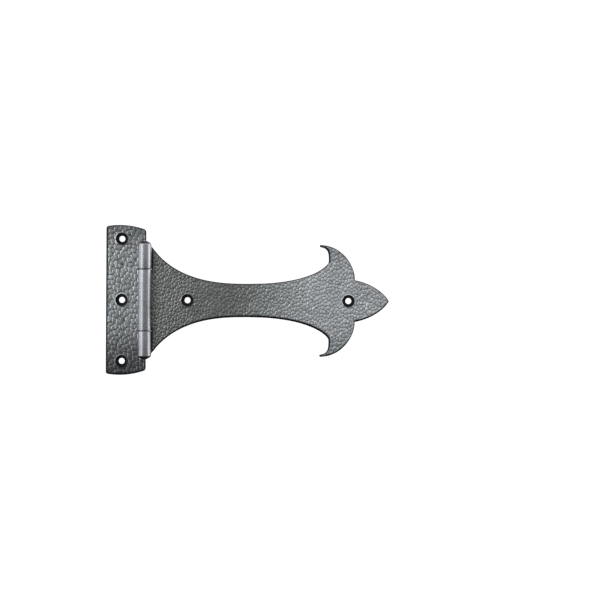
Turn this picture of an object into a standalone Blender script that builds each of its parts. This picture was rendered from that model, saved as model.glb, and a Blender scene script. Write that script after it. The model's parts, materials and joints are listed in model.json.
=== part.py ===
"""A hammered T-hinge: a frame leaf, a strap leaf with a fleur-de-lis end, and the pin that joins them.

Metres, +Z up along the pin, +X along the strap, fronts facing -Y. Both plates have their backs in
the plane y = 0, which is the wall. The origin lies in that plane, behind the middle of the pin.
Every piece has its own origin on the pin's axis, so the strap leaf swings about its own origin.
"""
import math

import bmesh
import bpy
from mathutils import Matrix, Vector
from mathutils.geometry import interpolate_bezier

MM = 0.001

# Plates
PLATE_THICKNESS = 2.5 * MM
EDGE_ROUNDING = 0.6 * MM  # radius along the front edges

# Barrel: one knuckle of the strap leaf between two of the frame leaf
BARREL_RADIUS = 4.65 * MM
BARREL_LENGTH = 83.8 * MM  # over its crowned ends
MIDDLE_KNUCKLE_LENGTH = 43.1 * MM
CROWN_HEIGHT = 2.9 * MM  # of each domed end of the barrel
CROWN_POWER = 1.6  # shape of the dome: 1 is a cone, 2 is an ellipse
KNUCKLE_GAP = 0.3 * MM  # end play between neighbouring knuckles
LEAF_GAP = 0.3 * MM  # between a knuckle and the rounded edge of the other plate
WALL_CLEARANCE = 0.1 * MM  # the barrel's back stands this far off the wall
PLATE_LAP = 0.3 * MM  # each plate runs this far past the pin's axis, under its own knuckle

# Pin
PIN_RADIUS = 2.0 * MM
PIN_CLEARANCE = 0.08 * MM  # radial
PIN_PROUD = 0.05 * MM  # its ends stand this far out of the barrel's crowns
PIN_CROWN = 0.7 * MM  # height of each domed end of the pin

# Frame leaf, seen from the front
LEAF_REACH = 27.8 * MM  # from the pin's axis to the outer edge
LEAF_HEIGHT = 106.0 * MM
LEAF_SUMMIT = 18.2 * MM  # the ends are highest this far from the pin's axis
LEAF_CORNER = 1.5 * MM
LEAF_HOLE_REACH = 16.7 * MM  # from the pin's axis to the line of screw holes
LEAF_HOLE_INSET = 9.8 * MM  # from the top or bottom of the leaf to its outer holes

# Strap leaf, upper half, seen from the front
STRAP_REACH = 172.2 * MM  # from the pin's axis to the tip
ROOT_HALF = 37.8 * MM
WAIST_HALF = 11.85 * MM
WAIST_REACH = 73.4 * MM
LILY_LENGTH = 42.7 * MM  # from the innermost point of the crescents to the tip
LILY_HALF = 39.6 * MM  # from the middle line to the back of a barb
CRESCENT_HALF = 27.7 * MM  # height of the innermost point of a crescent
BARB_LENGTH = 6.4 * MM  # how far a barb sweeps back past that point
BARB_TIP = 1.7 * MM  # thickness at the barb's tip
LEAFLET_LENGTH = 24.2 * MM  # from the notch behind the pointed end to the tip
LEAFLET_HALF = 14.8 * MM
STRAP_HOLE_REACH = 29.7 * MM  # from the pin's axis to the first screw hole
STRAP_HOLE_INSET = 28.7 * MM  # from the tip to the last screw hole

# Countersunk screw holes
HOLE_RADIUS = 2.1 * MM
COUNTERSINK_RADIUS = 4.2 * MM

# Fineness
ROUND_STEPS = 48  # facets around a turned shape
CURVE_STEPS = 10  # points along a curved stretch of an outline
CROWN_STEPS = 8
OVERSHOOT = 1.0 * MM  # a cutter reaches this far past what it cuts

# Derived places
AXIS_TO_BACK = BARREL_RADIUS + WALL_CLEARANCE
BORE_RADIUS = PIN_RADIUS + PIN_CLEARANCE
MIDDLE_HALF = MIDDLE_KNUCKLE_LENGTH / 2
OUTER_START = MIDDLE_HALF + KNUCKLE_GAP
ROUNDING_HEIGHT = AXIS_TO_BACK - PLATE_THICKNESS + EDGE_ROUNDING  # of its centre, from the pin's axis
ROUNDING_REACH = math.sqrt((BARREL_RADIUS + LEAF_GAP + EDGE_ROUNDING) ** 2 - ROUNDING_HEIGHT ** 2)
EDGE_REACH = ROUNDING_REACH - EDGE_ROUNDING  # a plate's edge beside the other plate's knuckle
PIN_AXIS = Vector((0, -AXIS_TO_BACK, 0))
HALF_FACET = math.pi / ROUND_STEPS  # the pin and its bore are turned by this against the knuckles


def clear_scene():
    for obj in list(bpy.data.objects):
        bpy.data.objects.remove(obj)


def make_collection(name):
    collection = bpy.data.collections.new(name)
    bpy.context.scene.collection.children.link(collection)
    return collection


def make_material(name, colour, roughness, metallic):
    material = bpy.data.materials.new(name)
    material.use_nodes = True
    shader = material.node_tree.nodes["Principled BSDF"]
    shader.inputs["Base Color"].default_value = (*colour, 1)
    shader.inputs["Roughness"].default_value = roughness
    shader.inputs["Metallic"].default_value = metallic
    return material


# ---- outlines: lists of (x, z) points ----

def curved(start, start_pull, end_pull, end):
    """Points along a curve; each pull is the offset from its end of the curve to its handle."""
    start, end = Vector(start), Vector(end)
    points = interpolate_bezier(
        start, start + Vector(start_pull), end + Vector(end_pull), end, CURVE_STEPS + 1)
    return [(point[0], point[1]) for point in points]


def rounded_corner(start, apex, end):
    """Points round a corner, from start to end, leaning towards the corner's apex."""
    lean = 0.55
    start_pull = (Vector(apex) - Vector(start)) * lean
    end_pull = (Vector(apex) - Vector(end)) * lean
    return curved(start, start_pull, end_pull, end)


def mirrored(upper_half):
    """The whole outline: the upper half, then its reflection in z = 0 in reverse."""
    return upper_half + [(x, -z) for x, z in reversed(upper_half)]


def leaf_end_height(x):
    """Half-height of the frame leaf at x: its ends are arcs about the middle of the leaf."""
    return math.sqrt((LEAF_HEIGHT / 2) ** 2 - (x + LEAF_SUMMIT) ** 2)


def frame_leaf_outline():
    inner, outer = PLATE_LAP, -LEAF_REACH
    arc_start, arc_end = inner - LEAF_CORNER, outer + LEAF_CORNER
    stations = [arc_start + (arc_end - arc_start) * i / CURVE_STEPS for i in range(CURVE_STEPS + 1)]
    arc = [(x, leaf_end_height(x)) for x in stations]
    inner_top, outer_top = leaf_end_height(inner), leaf_end_height(outer)
    return mirrored(
        [(-EDGE_REACH, OUTER_START), (inner, OUTER_START)]
        + rounded_corner((inner, inner_top - LEAF_CORNER), (inner, inner_top), arc[0])
        + arc[1:-1]
        + rounded_corner(arc[-1], (outer, outer_top), (outer, outer_top - LEAF_CORNER)))


def strap_leaf_outline():
    root = (EDGE_REACH, ROOT_HALF)
    waist = (WAIST_REACH, WAIST_HALF)
    crescent = (STRAP_REACH - LILY_LENGTH, CRESCENT_HALF)
    barb_back = (crescent[0] - BARB_LENGTH + BARB_TIP / 2, LILY_HALF)
    barb_end = (crescent[0] - BARB_LENGTH, LILY_HALF - BARB_TIP / 2)
    barb_belly = (barb_back[0], LILY_HALF - BARB_TIP)
    notch = (STRAP_REACH - LEAFLET_LENGTH, LEAFLET_HALF)
    tip = (STRAP_REACH, 0)
    flare, swell = waist[0] - root[0], crescent[0] - waist[0]
    drop, rise = root[1] - waist[1], crescent[1] - waist[1]
    hook = barb_belly[1] - crescent[1]
    bulge = notch[0] - barb_back[0]
    slope = barb_back[1] - notch[1]
    sweep = curved(root, (0.275 * flare, -1.02 * drop), (-0.24 * flare, 0), waist)
    swelling = curved(waist, (0.785 * swell, 0), (0, -0.16 * rise), crescent)
    belly = curved(crescent, (0, 0.43 * hook), (0.95 * BARB_LENGTH, -0.08 * hook), barb_belly)
    barb = rounded_corner(barb_belly, (barb_end[0], barb_belly[1]), barb_end)
    barb_top = rounded_corner(barb_end, (barb_end[0], barb_back[1]), barb_back)
    shoulder = curved(barb_back, (0.70 * bulge, -0.03 * slope), (0.02 * bulge, 0.33 * slope), notch)
    leaflet = curved(notch, (0.41 * LEAFLET_LENGTH, -0.12 * LEAFLET_HALF),
                     (-0.175 * LEAFLET_LENGTH, 0.49 * LEAFLET_HALF), tip)
    upper_half = (
        [(-PLATE_LAP, MIDDLE_HALF), (EDGE_REACH, MIDDLE_HALF)]
        + sweep + swelling[1:] + belly[1:] + barb[1:] + barb_top[1:] + shoulder[1:] + leaflet[1:-1])
    return upper_half + [tip] + [(x, -z) for x, z in reversed(upper_half)]


# ---- solids ----

def plate(name, outline, collection):
    """A flat plate of the outline, its back on the wall and its front edges rounded."""
    curve = bpy.data.curves.new(name + "_outline", "CURVE")
    curve.dimensions = "2D"
    curve.fill_mode = "BOTH"
    curve.extrude = PLATE_THICKNESS / 2
    spline = curve.splines.new("POLY")
    spline.points.add(len(outline) - 1)
    for point, (x, z) in zip(spline.points, outline):
        point.co = (x, z, 0, 1)
    spline.use_cyclic_u = True
    flat = bpy.data.objects.new(name + "_outline", curve)
    flat.rotation_euler = (math.pi / 2, 0, 0)
    flat.location = (0, -PLATE_THICKNESS / 2, 0)
    collection.objects.link(flat)
    graph = bpy.context.evaluated_depsgraph_get()
    mesh = bpy.data.meshes.new_from_object(flat.evaluated_get(graph))
    mesh.transform(Matrix.Translation(-PIN_AXIS) @ flat.matrix_world)
    bpy.data.objects.remove(flat)
    round_front_edges(mesh)
    solid = bpy.data.objects.new(name, mesh)
    solid.location = PIN_AXIS
    collection.objects.link(solid)
    return solid


def round_front_edges(mesh):
    """Weld the plate's caps to its rim, make each flat side one face and round the front edges."""
    weld_distance = 0.001 * MM
    flat_angle = math.radians(0.5)
    front = AXIS_TO_BACK - PLATE_THICKNESS
    shape = bmesh.new()
    shape.from_mesh(mesh)
    bmesh.ops.remove_doubles(shape, verts=shape.verts, dist=weld_distance)
    bmesh.ops.dissolve_limit(shape, angle_limit=flat_angle, verts=shape.verts, edges=shape.edges)
    bmesh.ops.recalc_face_normals(shape, faces=shape.faces)
    front_edges = [edge for edge in shape.edges
                   if all(abs(vert.co.y - front) < weld_distance for vert in edge.verts)]
    bmesh.ops.bevel(shape, geom=front_edges, offset=EDGE_ROUNDING, segments=3, profile=0.5,
                    affect="EDGES", clamp_overlap=True)
    shape.to_mesh(mesh)
    shape.free()


def turned(name, profile, collection):
    """A solid of revolution about its own Z. The profile of (r, z) runs from top to bottom."""
    mesh = bpy.data.meshes.new(name)
    edges = [(i, i + 1) for i in range(len(profile) - 1)]
    mesh.from_pydata([(r, 0, z) for r, z in profile], edges, [])
    solid = bpy.data.objects.new(name, mesh)
    screw = solid.modifiers.new("Turn", "SCREW")
    screw.steps = ROUND_STEPS
    screw.render_steps = ROUND_STEPS
    screw.use_merge_vertices = True
    screw.merge_threshold = 0.001 * MM
    solid.location = PIN_AXIS
    collection.objects.link(solid)
    return solid


def dome(radius, foot, height, power):
    """A domed end: (r, z) points from the top on the axis down to the foot at full radius."""
    points = []
    for i in range(CROWN_STEPS + 1):
        angle = math.pi / 2 * i / CROWN_STEPS
        r = radius * math.sin(angle) ** (2 / power)
        z = foot + height * max(math.cos(angle), 0) ** (2 / power)
        points.append((r, z))
    return points


def middle_knuckle(tools):
    r, z = BARREL_RADIUS, MIDDLE_HALF
    return turned("middle_knuckle", [(0, z), (r, z), (r, -z), (0, -z)], tools)


def outer_knuckle(name, side, tools):
    """The knuckle above (side 1) or below (side -1) the middle one, with its crown outwards."""
    foot = BARREL_LENGTH / 2 - CROWN_HEIGHT
    profile = dome(BARREL_RADIUS, foot, CROWN_HEIGHT, CROWN_POWER)
    profile += [(BARREL_RADIUS, OUTER_START), (0, OUTER_START)]
    if side < 0:
        profile = [(r, -z) for r, z in reversed(profile)]
    return turned(name, profile, tools)


def flank(name, side, z_low, z_high, tools):
    """The casting that fills the hollow between a knuckle and its own plate, at x on one side."""
    inset = 0.05 * MM  # keeps the block's faces just inside the knuckle and the plate
    depth = AXIS_TO_BACK - inset
    width = BARREL_RADIUS - inset
    shape = bmesh.new()
    bmesh.ops.create_cube(shape, size=1)
    bmesh.ops.scale(shape, vec=(width, depth, z_high - z_low), verts=shape.verts)
    bmesh.ops.translate(shape, vec=(side * width / 2, depth / 2, (z_high + z_low) / 2), verts=shape.verts)
    mesh = bpy.data.meshes.new(name)
    shape.to_mesh(mesh)
    shape.free()
    solid = bpy.data.objects.new(name, mesh)
    solid.location = PIN_AXIS
    tools.objects.link(solid)
    return solid


def bore(tools):
    z = BARREL_LENGTH / 2 + OVERSHOOT
    hole = turned("bore", [(0, z), (BORE_RADIUS, z), (BORE_RADIUS, -z), (0, -z)], tools)
    hole.rotation_euler = (0, 0, HALF_FACET)
    return hole


def screw_hole(name, x, z, tools):
    """A countersunk hole through a plate, opening towards the front."""
    wide = COUNTERSINK_RADIUS + OVERSHOOT
    neck = HOLE_RADIUS - COUNTERSINK_RADIUS
    through = -(PLATE_THICKNESS + OVERSHOOT)
    profile = [(0, OVERSHOOT), (wide, OVERSHOOT), (HOLE_RADIUS, neck), (HOLE_RADIUS, through), (0, through)]
    hole = turned(name, profile, tools)
    hole.rotation_euler = (math.pi / 2, 0, 0)
    hole.location = (x, -PLATE_THICKNESS, z)
    return hole


def combine(solid, operation, tool):
    """Join a tool to a solid, or cut the solid with it, and hide the tool."""
    boolean = solid.modifiers.new(tool.name, "BOOLEAN")
    boolean.operation = operation
    boolean.solver = "EXACT"
    boolean.object = tool
    tool.hide_render = True
    tool.display_type = "WIRE"


# ---- the three pieces ----

def frame_leaf(parts, tools):
    leaf = plate("frame_leaf", frame_leaf_outline(), parts)
    foot = BARREL_LENGTH / 2 - CROWN_HEIGHT
    for name, side in (("upper", 1), ("lower", -1)):
        low, high = sorted((side * OUTER_START, side * foot))
        combine(leaf, "UNION", outer_knuckle(name + "_knuckle", side, tools))
        combine(leaf, "UNION", flank(name + "_flank", -1, low, high, tools))
    hole_height = LEAF_HEIGHT / 2 - LEAF_HOLE_INSET
    for name, z in (("top", hole_height), ("centre", 0), ("bottom", -hole_height)):
        combine(leaf, "DIFFERENCE", screw_hole("leaf_hole_" + name, -LEAF_HOLE_REACH, z, tools))
    return leaf


def strap_leaf(parts, tools):
    leaf = plate("strap_leaf", strap_leaf_outline(), parts)
    combine(leaf, "UNION", middle_knuckle(tools))
    combine(leaf, "UNION", flank("middle_flank", 1, -MIDDLE_HALF, MIDDLE_HALF, tools))
    for name, x in (("near", STRAP_HOLE_REACH), ("far", STRAP_REACH - STRAP_HOLE_INSET)):
        combine(leaf, "DIFFERENCE", screw_hole("strap_hole_" + name, x, 0, tools))
    return leaf


def hinge_pin(parts):
    foot = BARREL_LENGTH / 2 + PIN_PROUD - PIN_CROWN
    upper = dome(PIN_RADIUS, foot, PIN_CROWN, 2)
    pin = turned("hinge_pin", upper + [(r, -z) for r, z in reversed(upper)], parts)
    pin.rotation_euler = (0, 0, HALF_FACET)
    return pin


def main():
    clear_scene()
    parts = make_collection("hammered_tee_hinge")
    tools = make_collection("cutters")
    pewter = make_material("pewter_iron", (0.20, 0.20, 0.205), 0.42, 0.9)
    steel = make_material("pin_steel", (0.14, 0.14, 0.145), 0.45, 0.95)

    frame = frame_leaf(parts, tools)
    strap = strap_leaf(parts, tools)
    pin = hinge_pin(parts)
    through_barrel = bore(tools)
    for leaf in (frame, strap):
        combine(leaf, "DIFFERENCE", through_barrel)
        leaf.data.materials.append(pewter)
    pin.data.materials.append(steel)
    smooth_angle = math.radians(30)
    for solid in (frame, strap, pin):
        solid.data.shade_smooth()
        solid.data.set_sharp_from_angle(angle=smooth_angle)


main()
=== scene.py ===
"""Looks of the hammered T-hinge: cast pewter-finished leaves, a smooth barrel and a steel pin.

The plates, holes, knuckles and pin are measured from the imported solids, so every piece keeps its
place and size. Each leaf is then built again as one fine closed mesh, with its hammered front as
real relief. Metres, +Z up along the pin, +X along the strap, fronts facing -Y.
"""
import itertools
import json
import math

import bmesh
import bpy
import numpy as np
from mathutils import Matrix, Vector, kdtree
from mathutils.geometry import delaunay_2d_cdt


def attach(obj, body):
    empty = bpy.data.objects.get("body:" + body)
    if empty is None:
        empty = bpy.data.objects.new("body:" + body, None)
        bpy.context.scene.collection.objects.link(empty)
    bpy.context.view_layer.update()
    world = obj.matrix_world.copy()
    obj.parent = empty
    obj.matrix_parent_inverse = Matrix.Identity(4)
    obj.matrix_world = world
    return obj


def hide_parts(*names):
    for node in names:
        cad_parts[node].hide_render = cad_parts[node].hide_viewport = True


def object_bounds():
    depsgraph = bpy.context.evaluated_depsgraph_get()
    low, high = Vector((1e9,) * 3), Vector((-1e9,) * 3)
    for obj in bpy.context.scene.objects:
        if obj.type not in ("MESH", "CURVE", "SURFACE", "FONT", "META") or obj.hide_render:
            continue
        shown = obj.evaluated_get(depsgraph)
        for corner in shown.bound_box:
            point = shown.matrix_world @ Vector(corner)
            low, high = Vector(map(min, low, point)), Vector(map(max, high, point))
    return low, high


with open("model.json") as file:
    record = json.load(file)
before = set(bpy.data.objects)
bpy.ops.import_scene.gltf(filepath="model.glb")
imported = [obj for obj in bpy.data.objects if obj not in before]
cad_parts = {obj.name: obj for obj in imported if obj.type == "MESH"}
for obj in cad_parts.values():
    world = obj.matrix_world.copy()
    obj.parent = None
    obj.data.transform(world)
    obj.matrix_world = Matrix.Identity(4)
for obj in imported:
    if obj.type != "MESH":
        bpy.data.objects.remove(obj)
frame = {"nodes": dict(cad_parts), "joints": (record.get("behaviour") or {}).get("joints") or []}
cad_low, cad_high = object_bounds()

MM = 0.001

# Fineness of the plates
OUTLINE_SPACING = 0.36 * MM
GRID_SPACING = 0.32 * MM
CORNER_TURN = math.radians(25)  # a sharper turn of an outline is kept as a corner
FLAT = 0.002 * MM  # two heights closer than this are the same plane

# Shape of the cast plates
FRONT_ROUNDING = 0.9 * MM
BACK_ROUNDING = 0.2 * MM
CORNER_TAPER = 0.2  # the back's rounding runs out towards sharp corners at this slope
MOUTH_ROUNDING = 0.25 * MM  # around the mouth of a countersink
FINEST_INSET = 0.1 * MM  # rings of points nearer the outline than this are left out
OUTER_RING = 0.55 * MM  # the last ring of points outside a countersink's mouth
CALM_MOUTH = 0.8 * MM  # the hammering fades out over this width around a mouth
ROUNDING_STEPS = 6
CONE_STEPS = 5
HOLE_STEPS = 64

# Barrel and pin
BARREL_STEPS = 128
CROWN_STEPS = 20
CROWN_POWER = 1.6  # 1 is a cone, 2 an ellipse
PIN_CROWN = 0.7 * MM  # height of the pin's domed ends
PIN_CROWN_POWER = 2
PIN_PROUD = 0.05 * MM  # how far the pin stands out of the crowned ends
KNUCKLE_ROUNDING = 0.45 * MM  # at the ends that face another knuckle
FLANK_INSET = 0.05 * MM  # the flanks stay this far inside the barrel's side and the back
OVERSHOOT = 1.0 * MM  # of the cut for the bore, past both ends
SHARP_ANGLE = math.radians(55)  # sharper edges aren't shaded smooth

# Painted shade: dark lines that the materials paint where edges, rims, barrel ends and seams fall into
# shade
CROWN_SHADE = 1.2 * MM  # painted shade turns the crowned ends dark over this height
EDGE_BAND = 1.1 * MM  # width of the painted shade along a plate's edges
SHADED_SIDE = np.array([-0.5, -0.85])  # edges facing this way in x and z, away from the light, get wider painted shade
SHADED_GAIN = 1.4  # how much wider, as a share of EDGE_BAND
RIM_BAND = 0.3 * MM  # width of the painted shade around a countersink's mouth

# Hammering: a pebble's width, the depth of the creases between them, how much longer than wide
# a pebble is, and the angle of its length from +X
LEAF_PEBBLE = 2.5 * MM
LEAF_DEPTH = 0.52 * MM
LEAF_STRETCH = 1.6
LEAF_LEAN = math.radians(-66)
STRAP_PEBBLE = 2.0 * MM
STRAP_DEPTH = 0.54 * MM
STRAP_STRETCH = 1.3
STRAP_LEAN = math.radians(80)
LILY_PEBBLE = 2.1 * MM
LILY_DEPTH = 0.44 * MM
LILY_STRETCH = 1.35
LILY_LEAN = math.radians(85)
LILY_START, LILY_FULL = 25 * MM, 65 * MM  # the strap's pebbles change into the lily's between these

# Pattern of the pebbles: lengths are in pebble widths, and strengths are shares of the depth
SCATTER = 0.8  # how far pebbles stray from even rows
BEND = 0.15  # how far the rows wander
BEND_LENGTH = 2.1
CREASE_WIDTH = 0.45
CROWNING = 1.3  # how fast a pebble falls away from its middle
LOWEST_TOP = 0.6  # the lowest pebble's top, as a share of the highest one's
TILT = 0.45  # of the pebbles' tops
FINE_SIZE = 0.55  # of the finer dents over the pebbles
FINE_SHARE = 0.15
SWELL = 0.15  # of the broad waves under the pebbles
SWELL_LENGTH = 4
DEEPEST = 1.4
CALM_EDGE = 0.4  # share of the hammering that is left at the plate's edge
LEAF_SEED, STRAP_SEED = 7, 31
BEND_SEED, SWELL_SEED, FINE_SEED, LILY_SEED = 11, 20, 50, 100  # added to a leaf's own seed

# Painted light and shade: the colour is brighter towards the strap's far end, darker at its two barbs
# and at the frame leaf's head and foot. The first value is where a change starts, the second where it
# is full.
HIGHLIGHT_START, HIGHLIGHT_FULL = 55 * MM, 125 * MM
BARB_START, BARB_FULL = 16 * MM, 38 * MM
HEAD_START, HEAD_FULL = 30 * MM, 53 * MM
FOOT_START, FOOT_FULL = -8 * MM, -53 * MM
BLEND_AT_PIN = 2 * MM
# shares of black mixed in as painted shade at the barbs, the head and the foot
BARB_SHADING, HEAD_SHADING, FOOT_SHADING = 0.28, 0.45, 0.75

# Colours
BLACK = (0, 0, 0)
LEAF_PEWTER = (0.43, 0.45, 0.46)
# the strap's root, painted darker as painted shade
ROOT_SHADED_PEWTER = (0.275, 0.285, 0.275)
# the strap's lily end, painted brighter as a painted highlight
LILY_LIT_PEWTER = (0.745, 0.785, 0.81)
# dark finish in the creases, deepened as painted shade
CREASE_BLACK = (0.034, 0.038, 0.033)
# painted shade along the plates' edges and around the countersinks
EDGE_SHADE_BLACK = (0.012, 0.013, 0.018)
# painted shade on the barrel's crowned ends and in its seams
END_SHADE_BLACK = (0.020, 0.020, 0.024)
COOL_WHITE = (0.94, 0.965, 1.0)  # of the lights

# Camera: it stands square to the wall, and its middle line passes this far along the strap
CAMERA_ASIDE = 109.3 * MM
CAMERA_DISTANCE = 750 * MM
FIELD_WIDTH = 423.6 * MM  # at the plates' front
SENSOR = 36.0
NEAREST_SEEN = 10 * MM
CAMERA_ROLL = math.radians(0.3)  # the view leans this far, so the strap seems to droop

# Studio
LIGHT_TARGET = Vector((50 * MM, 0, 0))
FLOOR_DROP = 250 * MM  # the floor lies this far below the hinge
FLOOR_HALF = 3.0


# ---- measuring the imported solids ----

def cad_points(name):
    """The vertices of a CAD node, as an array of x, y, z."""
    mesh = frame["nodes"][name].data
    flat = np.empty(len(mesh.vertices) * 3)
    mesh.vertices.foreach_get("co", flat)
    return flat.reshape(-1, 3)


def back_loops(name):
    """The loops of (x, z) points round a leaf's flat back: the outline first, then the holes."""
    mesh = frame["nodes"][name].data
    keys = {}
    places = []
    index = []
    for vert in mesh.vertices:
        key = tuple(round(c / FLAT) for c in vert.co)
        if key not in keys:
            keys[key] = len(places)
            places.append((vert.co.x, vert.co.z))
        index.append(keys[key])
    follows = {}
    directed = set()
    for face in mesh.polygons:
        corners = [mesh.vertices[i].co for i in face.vertices]
        if all(abs(c.y) < FLAT for c in corners):
            ring = [index[i] for i in face.vertices]
            directed.update(zip(ring, ring[1:] + ring[:1]))
    for a, b in directed:
        if (b, a) not in directed:
            follows[a] = b
    loops = []
    while follows:
        first = min(follows)
        loop = []
        here = first
        while here in follows:
            loop.append(places[here])
            here = follows.pop(here)
        loops.append(np.array(loop))
    loops.sort(key=lambda loop: -np.ptp(loop[:, 0]) - np.ptp(loop[:, 1]))
    return loops


class Barrel:
    """The pin's axis and the round sizes that the knuckles and the pin share."""

    def __init__(self):
        self.axis_y = frame["joints"][0]["pos_m"][1]
        strap = cad_points("strap_leaf")
        leaf = cad_points("frame_leaf")
        pin = cad_points("hinge_pin")
        self.radius = self.axis_y - strap[:, 1].min()
        self.pin_radius = self.from_axis(pin).max()
        self.pin_end = pin[:, 2].max()
        self.bore_radius = self.from_axis(strap).min()
        self.middle_end = self.straight(strap)[:, 2].max()
        upper = self.straight(leaf)
        upper = upper[upper[:, 2] > 0]
        self.outer_start = upper[:, 2].min()
        self.crown_foot = upper[:, 2].max()

    def from_axis(self, points):
        """How far each point lies from the pin's axis."""
        return np.hypot(points[:, 0], points[:, 1] - self.axis_y)

    def dark_ends(self, points):
        """Painted shade: 1 at the crowned ends and in the seams between the knuckles, 0 on the barrel's
        sides.
        """
        height = np.abs(points[:, 2])
        crown = smooth_step(height, self.crown_foot, self.crown_foot + CROWN_SHADE)
        seam = (self.middle_end + self.outer_start) / 2
        half_gap = (self.outer_start - self.middle_end) / 2
        near_seam = 1 - smooth_step(np.abs(height - seam), half_gap, half_gap + KNUCKLE_ROUNDING)
        return np.maximum(crown, near_seam)

    def straight(self, points):
        """The points on the front of the barrel's full width."""
        on_barrel = np.abs(self.from_axis(points) - self.radius) < 10 * FLAT
        return points[on_barrel & (points[:, 1] < self.axis_y)]


# ---- outlines ----

def spline_point(p0, p1, p2, p3, t):
    """A point at t, from p1 (0) to p2 (1), on the smooth curve through four points."""
    return 0.5 * (2 * p1 + (p2 - p0) * t + (2 * p0 - 5 * p1 + 4 * p2 - p3) * t ** 2
                  + (3 * p1 - p0 - 3 * p2 + p3) * t ** 3)


def refined(loop, spacing):
    """The loop with points added along smooth curves, and whether each point is a corner."""
    before = np.roll(loop, 1, axis=0)
    after = np.roll(loop, -1, axis=0)
    incoming, outgoing = loop - before, after - loop
    cross = incoming[:, 0] * outgoing[:, 1] - incoming[:, 1] * outgoing[:, 0]
    turn = np.arctan2(cross, (incoming * outgoing).sum(axis=1))
    length = np.hypot(outgoing[:, 0], outgoing[:, 1])
    corner = np.abs(turn) > CORNER_TURN
    count = len(loop)
    points, corners = [], []
    for i in range(count):
        j = (i + 1) % count
        p1, p2 = loop[i], loop[j]
        # past a corner, or beside a much longer straight side, the curve runs on straight
        long_before = length[i - 1] > 4 * length[i]
        long_after = length[j] > 4 * length[i]
        p0 = 2 * p1 - p2 if corner[i] or long_before else loop[i - 1]
        p3 = 2 * p2 - p1 if corner[j] or long_after else loop[(j + 1) % count]
        steps = max(1, round(length[i] / spacing))
        for step in range(steps):
            points.append(spline_point(p0, p1, p2, p3, step / steps))
            corners.append(bool(corner[i]) and step == 0)
    return np.array(points), np.array(corners)


def inward_normals(loop):
    """A unit normal into the material at each point of a loop that runs round it."""
    along = np.roll(loop, -1, axis=0) - np.roll(loop, 1, axis=0)
    normal = np.stack([-along[:, 1], along[:, 0]], axis=1)
    normal /= np.hypot(normal[:, 0], normal[:, 1])[:, None]
    area = (loop[:, 0] * np.roll(loop[:, 1], -1) - np.roll(loop[:, 0], -1) * loop[:, 1]).sum()
    return normal if area > 0 else -normal


def circle(centre, radius, steps=HOLE_STEPS):
    """Points evenly round a circle."""
    angles = np.arange(steps) * 2 * math.pi / steps
    return centre + radius * np.stack([np.cos(angles), np.sin(angles)], axis=1)


class Plate:
    """A leaf's flat plate: its refined outline and its countersunk holes."""

    def __init__(self, name):
        loops = back_loops(name)
        self.front = -self.measure_thickness(name)
        self.outline, self.corner = refined(loops[0], OUTLINE_SPACING)
        self.normals = inward_normals(self.outline)
        self.holes = [self.measure_hole(name, loop) for loop in loops[1:]]
        self.tree = kdtree.KDTree(len(self.outline))
        for i, (x, z) in enumerate(self.outline):
            self.tree.insert((x, z, 0), i)
        self.tree.balance()

    @staticmethod
    def measure_thickness(name):
        """The depth of the front plane: the most common height in front of the back."""
        heights = -cad_points(name)[:, 1]
        heights = np.round(heights[(heights > FLAT)] / FLAT).astype(int)
        values, counts = np.unique(heights[heights < 4 * MM / FLAT], return_counts=True)
        return values[counts.argmax()] * FLAT

    def measure_hole(self, name, loop):
        """(centre, radius of the hole, radius of the countersink's mouth)"""
        centre = loop.mean(axis=0)
        radius = np.hypot(*(loop - centre).T).mean()
        points = cad_points(name)
        away = np.hypot(points[:, 0] - centre[0], points[:, 2] - centre[1])
        at_front = np.abs(points[:, 1] - self.front) < 2 * FLAT
        return centre, radius, away[at_front].min()

    def edge_shade(self, points):
        """Painted shade: 1 at the outline, falling to 0 inwards, more slowly beside edges on the shaded
        side.
        """
        found = [self.tree.find((x, z, 0))[1:] for x, z in points]
        index = np.array([i for i, _ in found])
        distance = np.array([away for _, away in found])
        facing = np.clip(-self.normals[index] @ SHADED_SIDE, 0, 1)
        return 1 - smooth_step(distance, 0, EDGE_BAND * (1 + SHADED_GAIN * facing))

    def edge_distance(self, points):
        """How far each (x, z) point lies from the outline."""
        return np.array([self.tree.find((x, z, 0))[2] for x, z in points])

    def corner_distance(self):
        """How far each point of the outline lies from the nearest corner."""
        gaps = [np.hypot(*(self.outline - corner).T) for corner in self.outline[self.corner]]
        return np.min(gaps, axis=0)

    def hole_distance(self, points):
        """How far each (x, z) point lies outside the nearest countersink's mouth."""
        gaps = [np.hypot(*(points - centre).T) - mouth for centre, _, mouth in self.holes]
        return np.min(gaps, axis=0)


# ---- seeded noise over the plane ----

def lattice_random(i, j, seed):
    """A number from 0 to 1 for each whole pair (i, j), the same on every run."""
    seeded = i.astype(np.int64) * 374761393 + j.astype(np.int64) * 668265263 + seed * 974634777
    mixed = seeded & 0xFFFFFFFF
    mixed = ((mixed ^ (mixed >> 13)) * 1274126177) & 0xFFFFFFFF
    mixed = ((mixed ^ (mixed >> 16)) * 2246822519) & 0xFFFFFFFF
    mixed = mixed ^ (mixed >> 15)
    return (mixed & 0xFFFFFF) / 0x1000000


def soft_noise(x, z, size, seed):
    """Smooth noise from -1 to 1 whose hills are about that size."""
    u, v = x / size, z / size
    i, j = np.floor(u), np.floor(v)
    fu, fv = u - i, v - j
    fu, fv = fu * fu * (3 - 2 * fu), fv * fv * (3 - 2 * fv)
    low = lattice_random(i, j, seed) * (1 - fu) + lattice_random(i + 1, j, seed) * fu
    high = lattice_random(i, j + 1, seed) * (1 - fu) + lattice_random(i + 1, j + 1, seed) * fu
    return 2 * (low * (1 - fv) + high * fv) - 1


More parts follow.
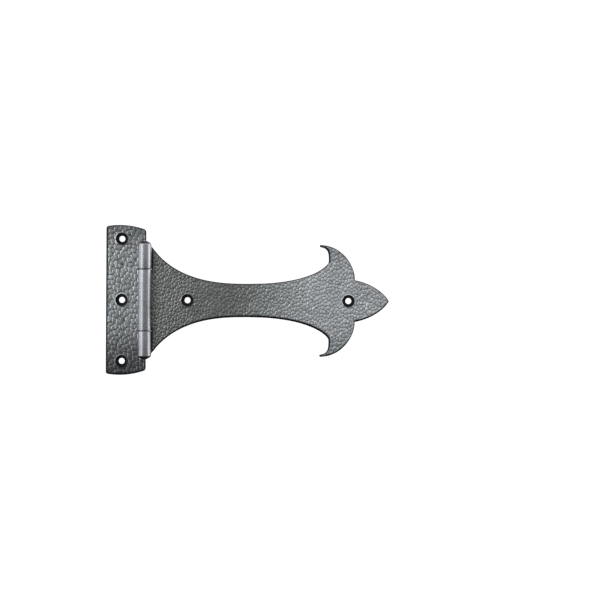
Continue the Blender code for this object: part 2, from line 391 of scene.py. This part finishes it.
def pebbles(x, z, size, stretch, lean, seed):
    """The hammered pattern: (height of a pebble 0 to 1, crease 0 to 1, tilt of its top).

    Pebbles are about that size, longer by stretch along the lean angle from +X.
    """
    bend_x = soft_noise(x, z, BEND_LENGTH * size, seed + BEND_SEED)
    bend_z = soft_noise(x, z, BEND_LENGTH * size, seed + BEND_SEED + 1)
    x = x + BEND * size * bend_x
    z = z + BEND * size * bend_z
    along = (x * math.cos(lean) + z * math.sin(lean)) / (size * stretch)
    across = (z * math.cos(lean) - x * math.sin(lean)) / size
    i, j = np.floor(along), np.floor(across)
    nearest = np.full(x.shape, np.inf)
    second = np.full(x.shape, np.inf)
    height = np.zeros(x.shape)
    tilt = np.zeros(x.shape)
    for di in (-2, -1, 0, 1, 2):
        for dj in (-2, -1, 0, 1, 2):
            ci, cj = i + di, j + dj
            stagger = 0.5 * (cj % 2)
            du = along - ci - stagger - SCATTER * lattice_random(ci, cj, seed)
            dv = across - cj - SCATTER * lattice_random(ci, cj, seed + 1)
            distance = np.hypot(du, dv)
            closer = distance < nearest
            second = np.where(closer, nearest, np.minimum(second, distance))
            nearest = np.where(closer, distance, nearest)
            height = np.where(closer, lattice_random(ci, cj, seed + 2), height)
            tilt_u = lattice_random(ci, cj, seed + 3) * 2 - 1
            tilt_v = lattice_random(ci, cj, seed + 4) * 2 - 1
            tilt = np.where(closer, du * tilt_u + dv * tilt_v, tilt)
    border = np.clip((second - nearest) / CREASE_WIDTH, 0, 1)
    shoulder = 1 - (1 - border) ** 2
    crown = np.clip(1 - CROWNING * nearest ** 2, 0, 1)
    rise = (shoulder + crown) / 2 * (LOWEST_TOP + (1 - LOWEST_TOP) * height)
    return rise, 1 - border, tilt * border


# ---- relief of a plate's front ----

def smooth_step(value, low, high):
    """0 up to low and 1 from high on, with a smooth rise between them."""
    t = np.clip((value - low) / (high - low), 0, 1)
    return t * t * (3 - 2 * t)


class Hammering:
    """Height and crease of a leaf's hammered front at any point."""

    def __init__(self, plate, size, depth, stretch, lean, seed):
        self.plate = plate
        self.size = size
        self.depth = depth
        self.stretch = stretch
        self.lean = lean
        self.seed = seed

    def pattern(self, x, z):
        """(how far behind the front plane, crease 0 to 1), before edges and holes calm it."""
        height, crease, tilt = pebbles(x, z, self.size, self.stretch, self.lean, self.seed)
        finer, fine_crease, _ = pebbles(x, z, FINE_SIZE * self.size, 1, 0, self.seed + FINE_SEED)
        sunk = 1 - height - TILT * tilt
        sunk = (1 - FINE_SHARE) * sunk + FINE_SHARE * (1 - finer)
        sunk += SWELL * soft_noise(x, z, SWELL_LENGTH * self.size, self.seed + SWELL_SEED)
        return np.clip(sunk, 0, DEEPEST) * self.depth, np.maximum(crease, fine_crease / 2)

    def at(self, points):
        """(how far the surface lies behind the plate's front plane, crease 0 to 1)"""
        sunk, crease = self.pattern(*points.T)
        edge = self.plate.edge_distance(points)
        mouth = self.plate.hole_distance(points)
        calm = CALM_EDGE + (1 - CALM_EDGE) * smooth_step(edge, 0, 1.6 * FRONT_ROUNDING)
        calm = calm * smooth_step(mouth, 0, CALM_MOUTH)
        return sunk * calm, crease * calm


class StrapHammering(Hammering):
    """The pebbles at the strap's root, which change into those of its fleur-de-lis end."""

    def __init__(self, plate, size, depth, stretch, lean, seed):
        super().__init__(plate, size, depth, stretch, lean, seed)
        self.lily = Hammering(plate, LILY_PEBBLE, LILY_DEPTH, LILY_STRETCH, LILY_LEAN, seed + LILY_SEED)

    def pattern(self, x, z):
        """The root's pattern mixed with the lily's, by the place along the strap."""
        sunk, crease = super().pattern(x, z)
        lily_sunk, lily_crease = self.lily.pattern(x, z)
        share = smooth_step(x, LILY_START, LILY_FULL)
        return sunk + (lily_sunk - sunk) * share, crease + (lily_crease - crease) * share


def rounding_drop(distance, radius):
    """How far a rounded edge lies behind the front at that distance from the outline."""
    inside = np.clip(radius - distance, 0, radius)
    return radius - np.sqrt(radius ** 2 - inside ** 2)


def front_heights(plate, hammering, points):
    """The y of the plate's front at each point."""
    edge = plate.edge_distance(points)
    drop = rounding_drop(edge, FRONT_ROUNDING)
    relief, _ = hammering.at(points)
    drop = drop + relief
    for centre, radius, mouth in plate.holes:
        away = np.hypot(*(points - centre).T)
        cone = np.clip(mouth + MOUTH_ROUNDING / 2 - away, 0, None)
        drop = np.where(away < mouth + MOUTH_ROUNDING, np.maximum(drop, cone), drop)
    return plate.front + drop


# ---- building a plate ----

def rounding_points(plate):
    """Rings of points that follow the outline over its rounded front edge."""
    kept = []
    for step in range(1, ROUNDING_STEPS + 1):
        inset = FRONT_ROUNDING * (1 - math.cos(math.pi / 2 * step / ROUNDING_STEPS))
        if inset < FINEST_INSET:
            continue
        ring = plate.outline + inset * plate.normals
        clear = plate.edge_distance(ring) > 0.97 * inset
        kept.append(ring[clear & ~plate.corner])
    return np.concatenate(kept)


def grid_points(plate):
    """Rows of points inside the outline, clear of its rounded edge and of the holes."""
    start = plate.outline
    end = np.roll(plate.outline, -1, axis=0)
    row_gap = GRID_SPACING * math.sqrt(3) / 2
    low, high = start[:, 1].min(), start[:, 1].max()
    rows = []
    for row, z in enumerate(np.arange(low + row_gap, high, row_gap)):
        crosses = (start[:, 1] <= z) != (end[:, 1] <= z)
        a, b = start[crosses], end[crosses]
        walls = np.sort(a[:, 0] + (z - a[:, 1]) * (b[:, 0] - a[:, 0]) / (b[:, 1] - a[:, 1]))
        for enter, leave in zip(walls[::2], walls[1::2]):
            first = math.ceil(enter / GRID_SPACING)
            x = (np.arange(first, leave / GRID_SPACING) + 0.5 * (row % 2)) * GRID_SPACING
            rows.append(np.stack([x[x < leave], np.full((x < leave).sum(), z)], axis=1))
    points = np.concatenate(rows)
    points = points[plate.edge_distance(points) > FRONT_ROUNDING + 0.4 * GRID_SPACING]
    return points[plate.hole_distance(points) > CALM_MOUTH]


def hole_rings(centre, radius, mouth):
    """Rings of points down a countersink and just outside its mouth."""
    radii = [radius + (mouth - radius) * step / CONE_STEPS for step in range(1, CONE_STEPS + 1)]
    radii += [mouth + MOUTH_ROUNDING / 2, mouth + MOUTH_ROUNDING, mouth + OUTER_RING]
    return np.concatenate([circle(centre, r) for r in radii])


def triangulated(loops, loose):
    """Triangles over the first loop less the round ones: (points, triangles, loops by point)."""
    points = np.concatenate(loops + ([loose] if len(loose) else []))
    edges = []
    start = 0
    for loop in loops:
        count = len(loop)
        edges += [(start + i, start + (i + 1) % count) for i in range(count)]
        start += count
    result = delaunay_2d_cdt([Vector(p) for p in points], edges, [], 1, 1e-9)
    places = np.array([tuple(p) for p in result[0]])
    triangles = np.array([tuple(t) for t in result[2]])
    origin = {}
    for new, sources in enumerate(result[3]):
        for source in sources:
            origin[source] = new
    middle = places[triangles].mean(axis=1)
    for loop in loops[1:]:
        centre = loop.mean(axis=0)
        radius = np.hypot(*(loop - centre).T).max()
        outside = np.hypot(*(middle - centre).T) > radius * math.cos(math.pi / len(loop))
        triangles, middle = triangles[outside], middle[outside]
    rings = []
    start = 0
    for loop in loops:
        rings.append([origin[start + i] for i in range(len(loop))])
        start += len(loop)
    return places, triangles, rings


def plate_mesh(plate, hammering):
    """One closed mesh: hammered front, walls, and a flat back with softened edges."""
    necks = [circle(centre, radius) for centre, radius, _ in plate.holes]
    loose = [rounding_points(plate), grid_points(plate)]
    loose += [hole_rings(*hole) for hole in plate.holes]
    places, front_faces, front_rings = triangulated([plate.outline] + necks, np.concatenate(loose))
    heights = front_heights(plate, hammering, places)
    front = np.stack([places[:, 0], heights, places[:, 1]], axis=1)

    inset = np.minimum(BACK_ROUNDING, CORNER_TAPER * plate.corner_distance())
    back_outline = plate.outline + inset[:, None] * plate.normals
    back_places, back_faces, back_rings = triangulated([back_outline] + necks, np.empty((0, 2)))
    back = np.stack([back_places[:, 0], np.zeros(len(back_places)), back_places[:, 1]], axis=1)
    hip = np.stack([plate.outline[:, 0], np.full(len(plate.outline), -BACK_ROUNDING),
                    plate.outline[:, 1]], axis=1)

    vertices = np.concatenate([front, back, hip])
    back_start, hip_start = len(front), len(front) + len(back)
    faces = [tuple(f) for f in front_faces]
    faces += [tuple(f[::-1] + back_start) for f in back_faces]
    hip_ring = list(range(hip_start, hip_start + len(hip)))
    outer_back = [i + back_start for i in back_rings[0]]
    faces += bridge(front_rings[0], hip_ring)
    faces += bridge(hip_ring, outer_back)
    for front_ring, back_ring in zip(front_rings[1:], back_rings[1:]):
        faces += bridge(front_ring, [i + back_start for i in back_ring])
    return vertices, faces


def bridge(ring, other):
    """Quads between two rings of the same length."""
    count = len(ring)
    return [(ring[i], other[i], other[(i + 1) % count], ring[(i + 1) % count]) for i in range(count)]


def mesh_object(name, vertices, faces):
    """An object of those faces, with all normals pointing out."""
    mesh = bpy.data.meshes.new(name)
    mesh.from_pydata([tuple(v) for v in vertices], [], faces)
    mesh.update()
    solid = bpy.data.objects.new(name, mesh)
    bpy.context.scene.collection.objects.link(solid)
    point_outwards(mesh)
    return solid


def point_outwards(mesh):
    """Turn the faces of a closed mesh so that their normals point out."""
    shape = bmesh.new()
    shape.from_mesh(mesh)
    bmesh.ops.recalc_face_normals(shape, faces=shape.faces)
    if shape.calc_volume(signed=True) < 0:
        bmesh.ops.reverse_faces(shape, faces=shape.faces)
    shape.to_mesh(mesh)
    shape.free()


# ---- turned shapes ----

def turned(name, profile, axis_y, steps=BARREL_STEPS):
    """A closed solid of revolution about the pin's axis, from (r, z) points that end on the axis."""
    vertices = []
    rings = []
    for r, z in profile:
        if r == 0:
            rings.append([len(vertices)])
            vertices.append((0, axis_y, z))
            continue
        ring = []
        for step in range(steps):
            angle = 2 * math.pi * (step + 0.5) / steps
            ring.append(len(vertices))
            vertices.append((r * math.cos(angle), axis_y + r * math.sin(angle), z))
        rings.append(ring)
    faces = []
    for ring, following in zip(rings, rings[1:]):
        if len(ring) == 1:
            faces += [(ring[0], following[i], following[(i + 1) % steps]) for i in range(steps)]
        elif len(following) == 1:
            faces += [(ring[i], following[0], ring[(i + 1) % steps]) for i in range(steps)]
        else:
            faces += bridge(ring, following)
    return mesh_object(name, vertices, faces)


def dome(radius, foot, height, power, steps=CROWN_STEPS):
    """(r, z) points of a domed end, from its top on the axis down to its foot."""
    points = []
    for step in range(steps + 1):
        angle = math.pi / 2 * step / steps
        r = radius * math.sin(angle) ** (2 / power)
        z = foot + height * max(math.cos(angle), 0) ** (2 / power)
        points.append((r, z))
    return points


def rounded_end(radius, end, inward, steps=ROUNDING_STEPS):
    """(r, z) points over a flat end at that z, from the axis out and round its edge to the side.

    inward is 1 or -1, the direction along z in which the solid lies.
    """
    points = [(0, end)]
    for step in range(steps + 1):
        angle = math.pi / 2 * step / steps
        r = radius - KNUCKLE_ROUNDING * (1 - math.sin(angle))
        points.append((r, end + inward * KNUCKLE_ROUNDING * (1 - math.cos(angle))))
    return points


def middle_knuckle(barrel):
    """The long knuckle of the strap."""
    top = rounded_end(barrel.radius, barrel.middle_end, -1)
    return turned("middle_knuckle", top + [(r, -z) for r, z in reversed(top)], barrel.axis_y)


def outer_knuckle(barrel, side):
    """The knuckle above (side 1) or below (side -1) the middle one."""
    height = barrel.pin_end - PIN_PROUD - barrel.crown_foot
    profile = dome(barrel.radius, barrel.crown_foot, height, CROWN_POWER)
    profile += reversed(rounded_end(barrel.radius, barrel.outer_start, 1))
    return turned("outer_knuckle", [(r, side * z) for r, z in profile], barrel.axis_y)


def block(name, low, high):
    """A plain box between two corners, for joining to another solid."""
    corners = list(itertools.product(*zip(low, high)))
    faces = [(0, 1, 3, 2), (4, 6, 7, 5), (0, 4, 5, 1), (2, 3, 7, 6), (0, 2, 6, 4), (1, 5, 7, 3)]
    return mesh_object(name, corners, faces)


def flank(barrel, side, z_low, z_high):
    """The casting between a knuckle and its own plate, on the side that the plate lies."""
    wide = side * (barrel.radius - FLANK_INSET)
    low = (min(0, wide), barrel.axis_y, z_low)
    high = (max(0, wide), -FLANK_INSET, z_high)
    return block("flank", low, high)


def combine(solid, operation, tools):
    """Join the tools to a solid, or cut it with them, and remove the tools."""
    for tool in tools:
        boolean = solid.modifiers.new(tool.name, "BOOLEAN")
        boolean.operation = operation
        boolean.solver = "MANIFOLD"
        boolean.object = tool
    graph = bpy.context.evaluated_depsgraph_get()
    mesh = bpy.data.meshes.new_from_object(solid.evaluated_get(graph))
    solid.modifiers.clear()
    solid.data = mesh
    for tool in tools:
        bpy.data.objects.remove(tool)


def bore(barrel):
    """The cut through a leaf's knuckles for the pin."""
    end = barrel.pin_end + OVERSHOOT
    r = barrel.bore_radius
    return turned("bore", [(0, end), (r, end), (r, -end), (0, -end)], barrel.axis_y)


# ---- finished leaves ----

def paint_relief(leaf, plate, hammering, barrel):
    """Stores what the materials need: the creases, and the painted shade along edges, rims, ends and
    seams.
    """
    mesh = leaf.data
    flat = np.empty(len(mesh.vertices) * 3)
    mesh.vertices.foreach_get("co", flat)
    points = flat.reshape(-1, 3)
    places = points[:, [0, 2]]
    _, crease = hammering.at(places)
    on_plate = points[:, 1] > plate.front - 10 * FLAT
    crease = np.where(on_plate & (points[:, 1] < plate.front + 1.4 * FRONT_ROUNDING), crease, 0)
    # painted shade: a band around each countersink's mouth and along the plate's edges, and on the
    # barrel's ends and seams
    rim = 1 - smooth_step(plate.hole_distance(places), 0, RIM_BAND)
    edge = np.where(on_plate, np.maximum(plate.edge_shade(places), rim), barrel.dark_ends(points))
    for name, values in (("crease", crease), ("edge", edge)):
        attribute = mesh.attributes.new(name, "FLOAT", "POINT")
        attribute.data.foreach_set("value", values.astype(np.float32))


def assign_faces(leaf, plate, barrel):
    """Material 0 on the hammered plate, 1 in the countersinks, 2 on the barrel, 3 on the back."""
    mesh = leaf.data
    count = len(mesh.polygons)
    centres = np.empty(count * 3)
    normals = np.empty(count * 3)
    mesh.polygons.foreach_get("center", centres)
    mesh.polygons.foreach_get("normal", normals)
    centres, normals = centres.reshape(-1, 3), normals.reshape(-1, 3)
    places = centres[:, [0, 2]]
    slots = np.zeros(count, dtype=np.int32)
    in_hole = plate.hole_distance(places) < 0.02 * MM
    in_hole &= normals[:, 1] < 0.9
    slots[in_hole] = 1
    on_knuckle = barrel.from_axis(centres) < barrel.radius + 0.01 * MM
    on_knuckle &= np.abs(centres[:, 2]) < barrel.pin_end
    slots[on_knuckle | (centres[:, 1] < plate.front - 10 * FLAT)] = 2
    on_back = (centres[:, 1] > -FLAT) & (normals[:, 1] > 0.9)
    slots[on_back] = 3
    mesh.polygons.foreach_set("material_index", slots)
    mesh.polygons.foreach_set("use_smooth", ~on_back)


def finish_leaf(leaf, node, plate, hammering, barrel, materials):
    """Give a leaf its materials and shading, and put it in its CAD node's place."""
    paint_relief(leaf, plate, hammering, barrel)
    leaf.data.materials.clear()
    for material in materials:
        leaf.data.materials.append(material)
    leaf.data.shade_smooth()
    leaf.data.set_sharp_from_angle(angle=SHARP_ANGLE)
    assign_faces(leaf, plate, barrel)
    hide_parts(node)


def build_frame_leaf(plate, barrel, materials):
    """The upright plate with the two outer knuckles."""
    hammering = Hammering(plate, LEAF_PEBBLE, LEAF_DEPTH, LEAF_STRETCH, LEAF_LEAN, LEAF_SEED)
    leaf = mesh_object("frame_leaf_cast", *plate_mesh(plate, hammering))
    joined = []
    for side in (1, -1):
        low, high = sorted((side * barrel.outer_start, side * barrel.crown_foot))
        joined.append(outer_knuckle(barrel, side))
        joined.append(flank(barrel, -1, low, high))
    combine(leaf, "UNION", joined)
    combine(leaf, "DIFFERENCE", [bore(barrel)])
    finish_leaf(leaf, "frame_leaf", plate, hammering, barrel, materials)
    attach(leaf, "frame")


def build_strap_leaf(plate, barrel, materials):
    """The long plate with the middle knuckle."""
    hammering = StrapHammering(plate, STRAP_PEBBLE, STRAP_DEPTH, STRAP_STRETCH, STRAP_LEAN, STRAP_SEED)
    leaf = mesh_object("strap_leaf_cast", *plate_mesh(plate, hammering))
    combine(leaf, "UNION", [middle_knuckle(barrel),
                            flank(barrel, 1, -barrel.middle_end, barrel.middle_end)])
    combine(leaf, "DIFFERENCE", [bore(barrel)])
    finish_leaf(leaf, "strap_leaf", plate, hammering, barrel, materials)
    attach(leaf, "strap")


def build_pin(barrel, material):
    """The steel pin: straight, with domed ends."""
    upper = dome(barrel.pin_radius, barrel.pin_end - PIN_CROWN, PIN_CROWN, PIN_CROWN_POWER)
    pin = turned("hinge_pin_steel", upper + [(r, -z) for r, z in reversed(upper)], barrel.axis_y)
    pin.data.materials.append(material)
    pin.data.shade_smooth()
    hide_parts("hinge_pin")
    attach(pin, "frame")


# ---- materials ----

class Nodes:
    """Makes a material, adds nodes to it and joins them."""

    def __init__(self, name):
        self.material = bpy.data.materials.new(name)
        self.material.use_nodes = True
        self.tree = self.material.node_tree
        self.shader = self.tree.nodes["Principled BSDF"]
        place = self.add("ShaderNodeTexCoord")
        self.place = place.outputs["Object"]

    def add(self, kind, **settings):
        """A new node with those settings."""
        node = self.tree.nodes.new(kind)
        for key, value in settings.items():
            setattr(node, key, value)
        return node

    def link(self, source, target):
        """Join a node's output to an input."""
        self.tree.links.new(source, target)

    def noise(self, size, detail=3.0, roughness=0.6):
        """Noise over the surface, with features of about that size in metres."""
        node = self.add("ShaderNodeTexNoise")
        node.inputs["Scale"].default_value = 1 / size
        node.inputs["Detail"].default_value = detail
        node.inputs["Roughness"].default_value = roughness
        self.link(self.place, node.inputs["Vector"])
        return node.outputs["Fac"]

    def along(self, axis, start, end, near, far):
        """A colour that changes along an axis, from near at start to far at end."""
        split = self.add("ShaderNodeSeparateXYZ")
        self.link(self.place, split.inputs["Vector"])
        place = self.add("ShaderNodeMapRange", interpolation_type="SMOOTHSTEP")
        place.inputs["From Min"].default_value = start
        place.inputs["From Max"].default_value = end
        self.link(split.outputs[axis], place.inputs["Value"])
        return self.mix(place.outputs["Result"], near, far)

    def attribute(self, name):
        """A value stored on the mesh's points."""
        return self.add("ShaderNodeAttribute", attribute_name=name).outputs["Fac"]

    def ramp(self, source, *stops):
        """A colour or a grey that depends on source, from (place, value) stops."""
        node = self.add("ShaderNodeValToRGB")
        elements = node.color_ramp.elements
        while len(elements) < len(stops):
            elements.new(0.5)
        for element, (place, value) in zip(elements, stops):
            colour = value if isinstance(value, tuple) else (value, value, value)
            element.position = place
            element.color = (*colour, 1)
        self.link(source, node.inputs["Fac"])
        return node.outputs["Color"]

    def mix(self, factor, first, second, blend="MIX"):
        """The first colour turning to the second; any of the three can be a socket or a value."""
        node = self.add("ShaderNodeMix", data_type="RGBA", blend_type=blend)
        # the factor and the two colours; the sockets between them are for other types
        sockets = (node.inputs[0], node.inputs[6], node.inputs[7])
        for socket, value in zip(sockets, (factor, first, second)):
            if isinstance(value, bpy.types.NodeSocket):
                self.link(value, socket)
            elif isinstance(value, tuple):
                socket.default_value = (*value, 1)
            else:
                socket.default_value = value
        return node.outputs[2]

    def bump(self, height, strength, distance):
        """Roughen the shader's normal."""
        node = self.add("ShaderNodeBump")
        node.inputs["Strength"].default_value = strength
        node.inputs["Distance"].default_value = distance
        self.link(height, node.inputs["Height"])
        self.link(node.outputs["Normal"], self.shader.inputs["Normal"])


def leaf_tones(nodes):
    """Both leaves' pewter: painted shade at the strap's root and barbs and the leaf's head and foot; a
    painted highlight at the strap's far end.
    """
    # painted shade at the frame leaf's head and foot and at the strap's barbs
    head = nodes.mix(HEAD_SHADING, LEAF_PEWTER, BLACK)
    foot = nodes.mix(FOOT_SHADING, LEAF_PEWTER, BLACK)
    upright = nodes.along("Z", HEAD_START, HEAD_FULL, LEAF_PEWTER, head)
    upright = nodes.along("Z", FOOT_FULL, FOOT_START, foot, upright)
    barbs = nodes.mix(BARB_SHADING, LILY_LIT_PEWTER, BLACK)
    lily = nodes.along("Z", BARB_START, BARB_FULL, LILY_LIT_PEWTER, barbs)
    lily = nodes.along("Z", -BARB_FULL, -BARB_START, barbs, lily)
    # the strap's root painted darker as painted shade, its lily end painted brighter as a painted
    # highlight
    tones = nodes.along("X", -BLEND_AT_PIN, BLEND_AT_PIN, upright, ROOT_SHADED_PEWTER)
    return nodes.along("X", HIGHLIGHT_START, HIGHLIGHT_FULL, tones, lily)


def hammered_pewter():
    """Grey metal polished on the pebbles; dark finish plus painted shade in the creases; painted shade
    on edges.
    """
    nodes = Nodes("hammered_pewter")
    nodes.shader.inputs["Metallic"].default_value = 1.0
    nodes.shader.inputs["Specular Tint"].default_value = (0.5, 0.5, 0.55, 1)
    grain = nodes.noise(0.5 * MM, 4.0)
    cloud = nodes.noise(14 * MM, 3.0)
    patchy = nodes.ramp(cloud, (0.3, 0.85), (0.7, 1.0))
    # leaf_tones brings the painted light and shade along the leaves
    tops = nodes.mix(1.0, leaf_tones(nodes), patchy, "MULTIPLY")
    speck = nodes.ramp(grain, (0.35, 0.70), (0.65, 1.0))
    tops = nodes.mix(1.0, tops, speck, "MULTIPLY")
    # dark finish in the creases, deepened as painted shade
    crease = nodes.ramp(nodes.attribute("crease"), (0.48, 0.0), (1.0, 0.92))
    colour = nodes.mix(crease, tops, CREASE_BLACK)
    # painted shade along the edges and around the countersinks
    edge = nodes.ramp(nodes.attribute("edge"), (0.05, 0.0), (0.55, 1.0))
    colour = nodes.mix(edge, colour, EDGE_SHADE_BLACK)
    nodes.link(colour, nodes.shader.inputs["Base Color"])
    worn = nodes.ramp(grain, (0.3, 0.24), (0.7, 0.38))
    rough = nodes.mix(crease, worn, (0.6, 0.6, 0.6))
    nodes.link(rough, nodes.shader.inputs["Roughness"])
    nodes.bump(grain, 0.35, 0.05 * MM)
    return nodes.material


def black_countersink():
    """The dark finish left where the countersinks were never polished."""
    nodes = Nodes("black_countersink")
    nodes.shader.inputs["Metallic"].default_value = 0.0
    nodes.shader.inputs["Specular IOR Level"].default_value = 0.05
    grain = nodes.noise(0.4 * MM, 3.0)
    colour = nodes.ramp(grain, (0.35, (0.002, 0.002, 0.003)), (0.75, (0.012, 0.012, 0.014)))
    nodes.link(colour, nodes.shader.inputs["Base Color"])
    rough = nodes.ramp(grain, (0.3, 0.45), (0.7, 0.7))
    nodes.link(rough, nodes.shader.inputs["Roughness"])
    nodes.bump(grain, 0.4, 0.05 * MM)
    return nodes.material


def satin_barrel():
    """The smooth barrel: satin metal with a fine speckle, and painted shade on its crowned ends and
    seams.
    """
    nodes = Nodes("satin_barrel")
    nodes.shader.inputs["Metallic"].default_value = 1.0
    grain = nodes.noise(0.45 * MM, 4.0)
    cloud = nodes.noise(9 * MM, 2.0)
    colour = nodes.ramp(cloud, (0.3, (0.28, 0.28, 0.29)), (0.7, (0.35, 0.35, 0.37)))
    speck = nodes.ramp(grain, (0.35, 0.75), (0.6, 1.0))
    colour = nodes.mix(1.0, colour, speck, "MULTIPLY")
    # painted shade on the crowned ends and in the seams between the knuckles
    ends = nodes.ramp(nodes.attribute("edge"), (0.1, 0.0), (0.7, 1.0))
    colour = nodes.mix(ends, colour, END_SHADE_BLACK)
    nodes.link(colour, nodes.shader.inputs["Base Color"])
    rough = nodes.ramp(grain, (0.3, 0.30), (0.7, 0.46))
    nodes.link(rough, nodes.shader.inputs["Roughness"])
    nodes.bump(grain, 0.25, 0.04 * MM)
    return nodes.material


def cast_back():
    """The plain grey backs, as they came from the mould."""
    nodes = Nodes("cast_back")
    nodes.shader.inputs["Metallic"].default_value = 1.0
    grain = nodes.noise(0.6 * MM, 4.0)
    cloud = nodes.noise(18 * MM, 3.0)
    colour = nodes.ramp(cloud, (0.3, (0.15, 0.16, 0.16)), (0.7, (0.22, 0.23, 0.23)))
    speck = nodes.ramp(grain, (0.35, 0.7), (0.65, 1.0))
    colour = nodes.mix(1.0, colour, speck, "MULTIPLY")
    nodes.link(colour, nodes.shader.inputs["Base Color"])
    rough = nodes.ramp(grain, (0.3, 0.42), (0.7, 0.58))
    nodes.link(rough, nodes.shader.inputs["Roughness"])
    nodes.bump(grain, 0.4, 0.06 * MM)
    return nodes.material


def dark_steel():
    """The pin's dull steel, with a faint speckled grain."""
    nodes = Nodes("dark_steel")
    nodes.shader.inputs["Metallic"].default_value = 1.0
    grain = nodes.noise(0.35 * MM, 3.0)
    colour = nodes.ramp(grain, (0.3, (0.11, 0.11, 0.115)), (0.7, (0.21, 0.21, 0.22)))
    nodes.link(colour, nodes.shader.inputs["Base Color"])
    rough = nodes.ramp(grain, (0.3, 0.34), (0.7, 0.5))
    nodes.link(rough, nodes.shader.inputs["Roughness"])
    nodes.bump(grain, 0.3, 0.03 * MM)
    return nodes.material


# ---- studio ----

def pale_floor():
    """A plain pale floor well below the hinge."""
    nodes = Nodes("pale_floor")
    nodes.shader.inputs["Roughness"].default_value = 0.8
    tint = nodes.noise(300 * MM, 2.0)
    colour = nodes.ramp(tint, (0.3, (0.90, 0.90, 0.90)), (0.7, (0.93, 0.93, 0.93)))
    nodes.link(colour, nodes.shader.inputs["Base Color"])
    mesh = bpy.data.meshes.new("floor")
    z = cad_low[2] - FLOOR_DROP
    corners = [(-FLOOR_HALF, -FLOOR_HALF, z), (FLOOR_HALF, -FLOOR_HALF, z),
               (FLOOR_HALF, FLOOR_HALF, z), (-FLOOR_HALF, FLOOR_HALF, z)]
    mesh.from_pydata(corners, [], [(0, 1, 2, 3)])
    floor = bpy.data.objects.new("floor", mesh)
    floor.visible_glossy = False  # the metal mirrors the dim studio, not the bright floor
    bpy.context.scene.collection.objects.link(floor)
    mesh.materials.append(nodes.material)


def soft_box(name, azimuth, elevation, distance, width, height, power):
    """A soft area light that faces the hinge. Azimuth 0 is on the front side, 90 at +X."""
    light = bpy.data.lights.new(name, "AREA")
    light.shape = "RECTANGLE"
    light.size = width
    light.size_y = height
    light.energy = power
    light.color = COOL_WHITE
    lamp = bpy.data.objects.new(name, light)
    a = math.radians(azimuth)
    e = math.radians(elevation)
    away = Vector((math.sin(a) * math.cos(e), -math.cos(a) * math.cos(e), math.sin(e)))
    lamp.location = LIGHT_TARGET + distance * away
    lamp.rotation_euler = away.to_track_quat("Z", "Y").to_euler()
    bpy.context.scene.collection.objects.link(lamp)


def studio_world(seen, below, level, overhead):
    """A surround that the camera sees as even white, and that lights the hinge mostly from above.

    seen is its strength to the camera; below, level and overhead are its strengths as light.
    """
    world = bpy.data.worlds.new("studio")
    world.use_nodes = True
    tree = world.node_tree
    background = tree.nodes["Background"]
    background.inputs["Color"].default_value = (1, 1, 1, 1)
    direction = tree.nodes.new("ShaderNodeTexCoord")
    split = tree.nodes.new("ShaderNodeSeparateXYZ")
    tree.links.new(direction.outputs["Generated"], split.inputs["Vector"])
    height = split.outputs["Z"]
    stretches = ((-0.25, 0.0, below, level), (0.0, 0.9, 0.0, overhead - level))
    levels = []
    for low, high, first, last in stretches:
        node = tree.nodes.new("ShaderNodeMapRange")
        node.inputs["From Min"].default_value = low
        node.inputs["From Max"].default_value = high
        node.inputs["To Min"].default_value = first
        node.inputs["To Max"].default_value = last
        tree.links.new(height, node.inputs["Value"])
        levels.append(node.outputs["Result"])
    total = tree.nodes.new("ShaderNodeMath")
    tree.links.new(levels[0], total.inputs[0])
    tree.links.new(levels[1], total.inputs[1])
    path = tree.nodes.new("ShaderNodeLightPath")
    choice = tree.nodes.new("ShaderNodeMix")
    tree.links.new(path.outputs["Is Camera Ray"], choice.inputs[0])
    tree.links.new(total.outputs["Value"], choice.inputs[2])
    choice.inputs[3].default_value = seen
    tree.links.new(choice.outputs[0], background.inputs["Strength"])
    bpy.context.scene.world = world


def studio_camera(front):
    """The camera, square in front of the hinge; front is the y of the plates' front."""
    camera = bpy.data.cameras.new("camera")
    camera.sensor_width = SENSOR
    camera.lens = SENSOR * CAMERA_DISTANCE / FIELD_WIDTH
    camera.clip_start = NEAREST_SEEN
    holder = bpy.data.objects.new("camera", camera)
    holder.location = (CAMERA_ASIDE, front - CAMERA_DISTANCE, CAMERA_ASIDE * math.tan(CAMERA_ROLL))
    holder.rotation_euler = (math.pi / 2, -CAMERA_ROLL, 0)
    bpy.context.scene.collection.objects.link(holder)
    bpy.context.scene.camera = holder


def main():
    bpy.context.scene.view_settings.view_transform = "Standard"
    barrel = Barrel()
    frame_plate = Plate("frame_leaf")
    strap_plate = Plate("strap_leaf")
    materials = [hammered_pewter(), black_countersink(), satin_barrel(), cast_back()]
    build_frame_leaf(frame_plate, barrel, materials)
    build_strap_leaf(strap_plate, barrel, materials)
    build_pin(barrel, dark_steel())
    pale_floor()
    studio_world(seen=1.1, below=0.24, level=0.42, overhead=1.65)
    soft_box("left_strip", azimuth=-50, elevation=6, distance=0.9, width=0.50, height=1.0, power=4.6)
    soft_box("left_side", azimuth=-95, elevation=6, distance=0.9, width=0.60, height=1.0, power=3.2)
    soft_box("right_strip", azimuth=90, elevation=6, distance=0.9, width=0.60, height=1.0, power=6.2)
    soft_box("back_fill", azimuth=165, elevation=25, distance=1.2, width=0.9, height=0.9, power=5.0)
    studio_camera(strap_plate.front)


main()
